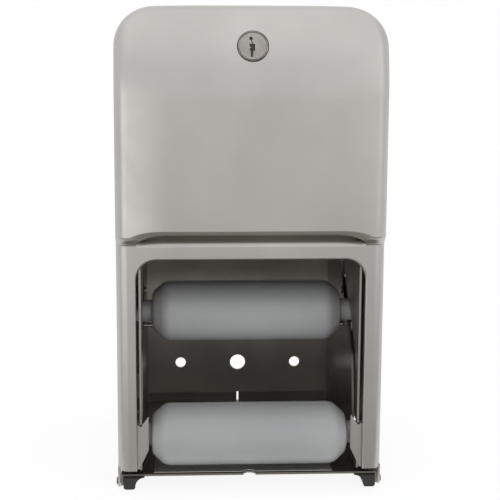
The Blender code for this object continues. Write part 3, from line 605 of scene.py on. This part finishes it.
def keyShade():
    # painted shade: black filling of the keyway stands in for its deep shadow, a hair smaller than the cut
    # and sunk below the face
    low, above = plugTop - slot["cut"] + slot["shadeGap"], plugTop - slot["shadeDepth"]
    solids = keyway(plugTop - slot["depth"] + slot["shadeGap"], above, low, slot["shadeGap"])
    filling = solids[0]
    for solid in solids[1:]:
        carve(filling, solid, "UNION")
    filling.name = filling.data.name = "keyShade"
    filling.data.transform(lockPlace)
    return tidy(filling, angle=30)


# painted shade: black ring round the lock face in place of the shadowed gap
def lockGapShade():
    peak = (gapShade["inner"] + gapShade["outer"]) / 2
    foot = lock["play"] / 2
    profile = [(gapShade["inner"], foot), (gapShade["outer"], foot), (peak, gapShade["height"]), (gapShade["inner"], foot)]
    ring = lathe("lockGapShade", profile, [(2, gapShade["turn"])])
    ring.data.transform(lockPlace @ Matrix.Translation((gapShade["across"], gapShade["above"], 0)))
    return tidy(ring, angle=40)


give(lockGapShade(), blackPlastic, "door", "black_plastic")
give(keyShade(), blackPlastic, "lock_turning", "black_plastic")
give(lockBody(), shadedLockNickel, "door", "nickel", "lock_body")
give(lockPlug(), shadedLockNickel, "lock_turning", "nickel", "lock_plug")
print("lock set in")


# Back panel, cut from flat sheet

panel = {"half": 0.0753, "low": 0.0080, "high": 0.2745, "sheet": 0.0015, "turn": 0.003, "topTurn": 0.0215,
         "turnCuts": 14, "edge": 0.0002,
         "rows": (0.0365, 0.240), "across": 0.040, "sideHole": 0.0036, "centreHole": 0.0053,
         "rivetRows": (0.030, 0.140, 0.250), "rivetAcross": 0.06835, "rivetHole": 0.0015,
         "slit": 0.0014, "slitLow": 0.0087, "slitHigh": 0.015}


def backPanel():
    piece = box((-panel["half"], -panel["sheet"], up(panel["low"])), (panel["half"], 0, up(panel["high"])),
                "backPanel")
    edit(piece)
    for low, turn in ((True, panel["turn"]), (False, panel["topTurn"])):
        pick("EDGE", lambda edge: abs(edge.verts[0].co.y - edge.verts[1].co.y) > panel["sheet"] / 2
             and (middle(edge).z < 0) == low)
        bpy.ops.mesh.bevel(offset=turn, segments=panel["turnCuts"], affect="EDGES")
    done()
    holes = ((-panel["across"], panel["sideHole"]), (0, panel["centreHole"]),
             (panel["across"], panel["sideHole"]))
    places = [(across, up(row), radius) for row in panel["rows"] for across, radius in holes]
    places += [(side * panel["rivetAcross"], up(row), panel["rivetHole"]) for row in panel["rivetRows"]
               for side in (-1, 1)]
    for across, level, radius in places:
        carve(piece, drum(radius, through, (across, 0, level), "Y", sides=48))
    carve(piece, box((-panel["slit"] / 2, -through, up(panel["slitLow"])),
                     (panel["slit"] / 2, through, up(panel["slitHigh"]))))
    apply(piece, "BEVEL", width=panel["edge"], segments=2, limit_method="ANGLE", angle_limit=radians(50))
    return tidy(piece, angle=32)


give(backPanel(), shadedMillSteel, "cabinet", "mill_steel", "back_panel")
print("back panel cut")


# Folded sheet, moulded blocks and stampings that keep their CAD shape, with broken edges

edges = {"sheet": 0.00018, "block": 0.00045, "plate": 0.0001, "sharpAngle": 30, "flatAngle": 0.6}


def dress(node, kind, finish, body, slotName):
    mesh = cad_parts[node].data.copy()
    mesh.materials.clear()
    piece = bpy.data.objects.new(node + "Dressed", mesh)
    bpy.context.scene.collection.objects.link(piece)
    edit(piece)
    weld()
    bpy.ops.mesh.dissolve_limited(angle_limit=radians(edges["flatAngle"]))
    done()
    apply(piece, "BEVEL", width=edges[kind], segments=2, limit_method="ANGLE",
          angle_limit=radians(edges["sharpAngle"]), use_clamp_overlap=True, harden_normals=False)
    give(smooth(piece, edges["sharpAngle"]), finish, body, slotName, node)


for side in ("left", "right"):
    dress("side_plate_" + side, "sheet", shadedMillSteel, "cabinet", "mill_steel")
    dress("latch_" + side, "sheet", shadedMillSteel, "reserve_latch_" + side, "mill_steel")
    dress("retaining_tab_" + side, "sheet", satinSteel, "door", "satin_steel")
    dress("hinge_block_" + side, "block", blackPlastic, "cabinet", "black_plastic")
dress("floor_pan", "sheet", shadedFootSteel, "cabinet", "mill_steel")
dress("top_rail", "sheet", shadedMillSteel, "cabinet", "mill_steel")
dress("label_plate", "plate", blankPlate, "cabinet", "pale_label")
dress("lock_nut", "block", brightSteel, "door", "bright_steel")
dress("lock_cam", "block", shadedLockNickel, "lock_turning", "nickel")
dress("cam_screw", "plate", shadedLockNickel, "lock_turning", "nickel")
print("sheet pieces finished")


# Rivets and screws, each made to the length and head of its CAD solid

rivet = {"dome": 0.0009, "domeTurn": 0.0003, "crownTurn": 0.0006, "crossLong": 0.0032, "crossWide": 0.0006,
         "crossDeep": 0.0007, "overcut": 0.001}
rivetShares = {"shank": 0.5, "side": 0.45, "crown": 0.55}


def makeRivet(name, length, head, tail):
    shank, dome = head * rivetShares["shank"], rivet["dome"]
    profile = [(0, -length)]
    profile += [(head, -length), (head, -length + dome)] if tail else []
    profile += [(shank, -length + dome if tail else -length), (shank, -dome), (head, -dome),
                (head, -dome * rivetShares["side"]), (head * rivetShares["crown"], 0), (0, 0)]
    soft = [(len(profile) - 3, rivet["domeTurn"]), (len(profile) - 2, rivet["crownTurn"])]
    return lathe(name, profile, soft, turns=40)


def setRivet(node, toward, body, tail=True, finish=brightSteel, cross=False):
    low, high = (Vector(corner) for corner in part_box(node))
    along = max(range(3), key=lambda axis: abs(toward[axis]))
    head = (high[(along + 1) % 3] - low[(along + 1) % 3]) / 2
    top = (low + high) / 2
    top[along] = high[along] if toward[along] > 0 else low[along]
    piece = makeRivet(node + "Dome", high[along] - low[along], head, tail)
    if cross:
        for x, y in ((rivet["crossLong"], rivet["crossWide"]), (rivet["crossWide"], rivet["crossLong"])):
            carve(piece, box((-x / 2, -y / 2, -rivet["crossDeep"]), (x / 2, y / 2, rivet["overcut"])))
    facing = Vector(toward).to_track_quat("Z", "Y").to_matrix().to_4x4()
    piece.data.transform(Matrix.Translation(top) @ facing)
    give(tidy(piece, angle=40), finish, body, "bright_steel", node)


for word, side in (("left", -1), ("right", 1)):
    setRivet("hinge_rivet_" + word, (side, 0, 0), "cabinet", tail=False, finish=shadedFootSteel)
    setRivet("block_screw_" + word, (0, 0, 1), "cabinet", tail=False, cross=True)
    for index in (1, 2):
        setRivet(f"rail_rivet_{word}_{index}", (side, 0, 0), "cabinet")
        setRivet(f"floor_rivet_{word}_{index}", (0, 0, 1), "cabinet")
    for index in (1, 2, 3):
        setRivet(f"back_rivet_{word}_{index}", (0, -1, 0), "cabinet", tail=False)
    setRivet("latch_pivot_" + word, (side, 0, 0), "cabinet")
    setRivet("latch_pin_" + word, (side, 0, 0), "reserve_latch_" + word, tail=False)
print("rivets set")


# Floor and backdrop in one sweep, white to the camera, in mirrors and through clear things

stage = {"floorHalf": 3.0, "floorDrop": 0.0004, "behind": 1.6, "ahead": 0.155, "turn": 0.5, "turnCuts": 12,
         "wallHeight": 3.0, "near": 0.01, "tone": (0.92, 0.92, 0.92), "rough": 0.9, "whiteShare": 0.86,
         "whiteGlow": 1.04}


def paleSurface(name):
    finish, tree, shader = blank(name)
    shader.inputs["Base Color"].default_value = (*stage["tone"], 1)
    shader.inputs["Roughness"].default_value = stage["rough"]
    path = tree.nodes.new("ShaderNodeLightPath")
    seen = reckon(tree, "MAXIMUM", path.outputs["Is Camera Ray"], path.outputs["Is Glossy Ray"])
    seen = reckon(tree, "MAXIMUM", seen, path.outputs["Is Transmission Ray"])
    white = put(tree, "ShaderNodeEmission", Color=(1, 1, 1, 1), Strength=stage["whiteGlow"])
    mix = tree.nodes.new("ShaderNodeMixShader")
    tree.links.new(reckon(tree, "MULTIPLY", seen, stage["whiteShare"]), mix.inputs[0])
    tree.links.new(shader.outputs[0], mix.inputs[1])
    tree.links.new(white.outputs[0], mix.inputs[2])
    tree.links.new(mix.outputs[0], tree.nodes["Material Output"].inputs["Surface"])
    return finish


def layFloor():
    behind, ahead, close = stage["behind"], stage["ahead"], stage["near"]
    letGo()
    bpy.ops.mesh.primitive_plane_add(size=1, location=(0, (behind - ahead) / 2, up(-stage["floorDrop"])))
    bpy.context.object.scale = (2 * stage["floorHalf"], behind + ahead, 1)
    edit(settle(bpy.context.object))
    pick("EDGE", lambda edge: middle(edge).y > behind - close)
    bpy.ops.mesh.extrude_region_move(TRANSFORM_OT_translate={"value": (0, 0, stage["wallHeight"])})
    pick("EDGE", lambda edge: abs(middle(edge).y - behind) < close and middle(edge).z < 0
         and abs(middle(edge).x) < close)
    bpy.ops.mesh.bevel(offset=stage["turn"], segments=stage["turnCuts"], affect="EDGES")
    return done("floorSweep")


floor = layFloor()
floor.data.materials.append(paleSurface("paleFloor"))


# Air round the object, lamps and camera

sky = {"below": (0.33, 0.307, 0.265), "above": (1.0, 1.0, 1.0),  # what metal mirrors, dim and warm below
       "start": -0.45, "end": -0.05,  # the heights between which the one turns into the other
       "filling": (0.72, 0.72, 0.72), "seen": (1.0, 1.0, 1.0)}


def blend(tree, amount, low, high):
    mix = tree.nodes.new("ShaderNodeMix")
    mix.data_type = "RGBA"
    tree.links.new(amount, mix.inputs["Factor"])
    for socket, value in ((mix.inputs[6], low), (mix.inputs[7], high)):
        if isinstance(value, tuple):
            socket.default_value = (*value, 1)
        else:
            tree.links.new(value, socket)
    return mix.outputs[2]


def fillAir():
    world = bpy.data.worlds.new("studioAir")
    bpy.context.scene.world = world
    world.use_nodes = True
    air = world.node_tree
    path = air.nodes.new("ShaderNodeLightPath")
    mirrored = reckon(air, "MAXIMUM", path.outputs["Is Glossy Ray"], path.outputs["Is Transmission Ray"])
    heading = air.nodes.new("ShaderNodeTexCoord")
    split = air.nodes.new("ShaderNodeSeparateXYZ")
    air.links.new(heading.outputs["Generated"], split.inputs[0])
    height = put(air, "ShaderNodeMapRange", From_Min=sky["start"], From_Max=sky["end"])
    height.interpolation_type = "SMOOTHSTEP"
    air.links.new(split.outputs["Z"], height.inputs["Value"])
    mirror = blend(air, height.outputs["Result"], sky["below"], sky["above"])
    filled = blend(air, mirrored, sky["filling"], mirror)
    shown = blend(air, path.outputs["Is Camera Ray"], filled, sky["seen"])
    air.links.new(shown, air.nodes["Background"].inputs["Color"])


fillAir()

lamps = {"overhead": {"place": (0.05, -0.3, 1.25), "size": (2.4, 2.6), "power": 4.8},
         "leftSide": {"place": (-0.95, -1.35, -0.12), "size": (1.5, 0.5), "power": 2.4},
         "rightSide": {"place": (1.1, -1.1, 0.3), "size": (1.2, 1.4), "power": 1.6}}
lampAim = Vector((0, -0.1, 0))
for name, lamp in lamps.items():
    letGo()
    bpy.ops.object.light_add(type="AREA", location=lamp["place"])
    light = bpy.context.object
    light.name = light.data.name = name
    light.data.shape = "RECTANGLE"
    light.data.size, light.data.size_y = lamp["size"]
    light.data.energy = lamp["power"]
    light.rotation_euler = (lampAim - Vector(lamp["place"])).to_track_quat("-Z", "Y").to_euler()

view = {"place": (-0.0414, -0.7724, 0.1173), "down": radians(8.458), "aside": radians(2.403),
        "roll": radians(0.13), "clip": 0.01, "film": 36.0,
        "pixels": 500, "focal": 1129.8, "aim": (225.0, 213.0)}  # these three are counted in pixels
letGo()
bpy.ops.object.camera_add(location=view["place"])
camera = bpy.context.object
camera.name = camera.data.name = "studioCamera"
camera.rotation_euler = (Matrix.Rotation(-view["aside"], 4, "Z")
                         @ Matrix.Rotation(pi / 2 - view["down"], 4, "X")
                         @ Matrix.Rotation(view["roll"], 4, "Z")).to_euler()
camera.data.sensor_width = view["film"]
camera.data.lens = view["focal"] / view["pixels"] * view["film"]
camera.data.shift_x = 0.5 - view["aim"][0] / view["pixels"]
camera.data.shift_y = view["aim"][1] / view["pixels"] - 0.5
camera.data.clip_start = view["clip"]
bpy.context.scene.camera = camera
bpy.context.scene.view_settings.view_transform = "Standard"

print("camera and light set")
